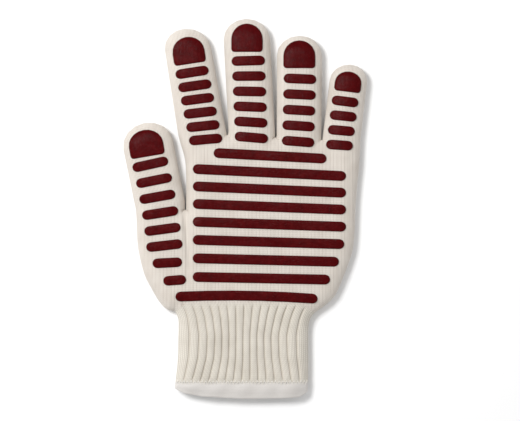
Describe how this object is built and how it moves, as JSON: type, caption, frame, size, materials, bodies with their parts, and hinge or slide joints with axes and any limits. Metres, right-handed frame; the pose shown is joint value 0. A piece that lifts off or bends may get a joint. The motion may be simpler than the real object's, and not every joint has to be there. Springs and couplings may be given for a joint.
{
  "type": "heat resistant glove",
  "caption": "Knitted five-finger heat resistant glove with a cotton liner, ribbed cuff and silicone grip bars and fingertip caps on the palm side.",
  "frame": {"origin": "middle of the glove's outline, on the surface that it lies on with its back down", "axes": "+Y to the fingertips, -X to the thumb, +Z out of the grip side"},
  "size_m": [0.1734, 0.27, 0.0153],
  "materials": {
    "outer_knit": "cream knitted aramid and cotton yarn, plain knit with fine upright wales",
    "ribbed_knit": "cream ribbed knit, soft and elastic",
    "hem_yarn": "off-white folded and overcast hem",
    "cotton_liner": "white brushed cotton",
    "silicone_grip": "dark maroon cured silicone, glossy, showing the knit faintly"
  },
  "bodies": {
    "hand": {"palm": "outer_knit", "cuff": "ribbed_knit", "hem": "hem_yarn", "cotton_liner": "cotton_liner", "palm_bar_1": "silicone_grip", "palm_bar_2": "silicone_grip", "palm_bar_3": "silicone_grip", "palm_bar_4": "silicone_grip", "palm_bar_5": "silicone_grip", "palm_bar_6": "silicone_grip", "palm_bar_7": "silicone_grip", "palm_bar_8": "silicone_grip", "palm_bar_9": "silicone_grip", "thumb_bar_1": "silicone_grip", "thumb_bar_2": "silicone_grip", "thumb_bar_3": "silicone_grip", "thumb_bar_4": "silicone_grip", "thumb_bar_5": "silicone_grip", "index_bar_1": "silicone_grip", "middle_bar_1": "silicone_grip", "ring_bar_1": "silicone_grip", "little_bar_1": "silicone_grip"},
    "thumb_base": {"thumb_base": "outer_knit", "thumb_bar_6": "silicone_grip", "thumb_bar_7": "silicone_grip"},
    "thumb_tip": {"thumb_tip": "outer_knit", "thumb_bar_8": "silicone_grip", "thumb_cap": "silicone_grip"},
    "index_base": {"index_base": "outer_knit", "index_bar_2": "silicone_grip", "index_bar_3": "silicone_grip"},
    "index_middle": {"index_middle": "outer_knit", "index_bar_4": "silicone_grip", "index_bar_5": "silicone_grip", "index_bar_6": "silicone_grip"},
    "index_tip": {"index_tip": "outer_knit", "index_cap": "silicone_grip"},
    "middle_base": {"middle_base": "outer_knit", "middle_bar_2": "silicone_grip", "middle_bar_3": "silicone_grip"},
    "middle_middle": {"middle_middle": "outer_knit", "middle_bar_4": "silicone_grip", "middle_bar_5": "silicone_grip", "middle_bar_6": "silicone_grip"},
    "middle_tip": {"middle_tip": "outer_knit", "middle_cap": "silicone_grip"},
    "ring_base": {"ring_base": "outer_knit", "ring_bar_2": "silicone_grip", "ring_bar_3": "silicone_grip"},
    "ring_middle": {"ring_middle": "outer_knit", "ring_bar_4": "silicone_grip", "ring_bar_5": "silicone_grip"},
    "ring_tip": {"ring_tip": "outer_knit", "ring_cap": "silicone_grip"},
    "little_base": {"little_base": "outer_knit", "little_bar_2": "silicone_grip", "little_bar_3": "silicone_grip"},
    "little_tip": {"little_tip": "outer_knit", "little_bar_4": "silicone_grip", "little_cap": "silicone_grip"}
  },
  "joints": [
    {"name": "thumb_knuckle", "type": "hinge", "parent": "hand", "child": "thumb_base", "pos_m": [-0.0604, 0.0025, 0.0155], "axis": [-0.9806, -0.1959, 0], "range_deg": [-55, 0], "deforming": ["cotton_liner"]},
    {"name": "thumb_tip_joint", "type": "hinge", "parent": "thumb_base", "child": "thumb_tip", "pos_m": [-0.06504, 0.02572, 0.0155], "axis": [-0.9806, -0.1959, 0], "range_deg": [-75, 0], "deforming": ["cotton_liner"]},
    {"name": "index_knuckle", "type": "hinge", "parent": "hand", "child": "index_base", "pos_m": [-0.0306, 0.0537, 0.0155], "axis": [0.9965, 0.0837, 0], "range_deg": [0, 85], "deforming": ["cotton_liner"]},
    {"name": "index_middle_joint", "type": "hinge", "parent": "index_base", "child": "index_middle", "pos_m": [-0.03378, 0.07248, 0.0155], "axis": [0.9965, 0.0837, 0], "range_deg": [0, 90], "deforming": ["cotton_liner"]},
    {"name": "index_tip_joint", "type": "hinge", "parent": "index_middle", "child": "index_tip", "pos_m": [-0.03861, 0.10106, 0.0155], "axis": [0.9965, 0.0837, 0], "range_deg": [0, 45], "deforming": ["cotton_liner"]},
    {"name": "middle_knuckle", "type": "hinge", "parent": "hand", "child": "middle_base", "pos_m": [0.0046, 0.0557, 0.0155], "axis": [0.9997, 0.0262, 0], "range_deg": [0, 85], "deforming": ["cotton_liner"]},
    {"name": "middle_middle_joint", "type": "hinge", "parent": "middle_base", "child": "middle_middle", "pos_m": [0.00346, 0.07746, 0.0155], "axis": [0.9997, 0.0262, 0], "range_deg": [0, 90], "deforming": ["cotton_liner"]},
    {"name": "middle_tip_joint", "type": "hinge", "parent": "middle_middle", "child": "middle_tip", "pos_m": [0.00178, 0.10943, 0.0155], "axis": [0.9997, 0.0262, 0], "range_deg": [0, 45], "deforming": ["cotton_liner"]},
    {"name": "ring_knuckle", "type": "hinge", "parent": "hand", "child": "ring_base", "pos_m": [0.0382, 0.0528, 0.0155], "axis": [1, 0, 0], "range_deg": [0, 85], "deforming": ["cotton_liner"]},
    {"name": "ring_middle_joint", "type": "hinge", "parent": "ring_base", "child": "ring_middle", "pos_m": [0.03836, 0.07515, 0.0155], "axis": [1, 0, 0], "range_deg": [0, 90], "deforming": ["cotton_liner"]},
    {"name": "ring_tip_joint", "type": "hinge", "parent": "ring_middle", "child": "ring_tip", "pos_m": [0.03851, 0.09728, 0.0155], "axis": [1, 0, 0], "range_deg": [0, 45], "deforming": ["cotton_liner"]},
    {"name": "little_knuckle", "type": "hinge", "parent": "hand", "child": "little_base", "pos_m": [0.0685, 0.05, 0.0155], "axis": [0.9982, -0.0593, 0], "range_deg": [0, 85], "deforming": ["cotton_liner"]},
    {"name": "little_middle_joint", "type": "hinge", "parent": "little_base", "child": "little_tip", "pos_m": [0.07095, 0.07055, 0.0155], "axis": [0.9982, -0.0593, 0], "range_deg": [0, 90], "deforming": ["cotton_liner"]}
  ],
  "couplings": [
    {"joint": "index_tip_joint", "follows": "index_middle_joint", "ratio": 0.5},
    {"joint": "middle_tip_joint", "follows": "middle_middle_joint", "ratio": 0.5},
    {"joint": "ring_tip_joint", "follows": "ring_middle_joint", "ratio": 0.5}
  ]
}
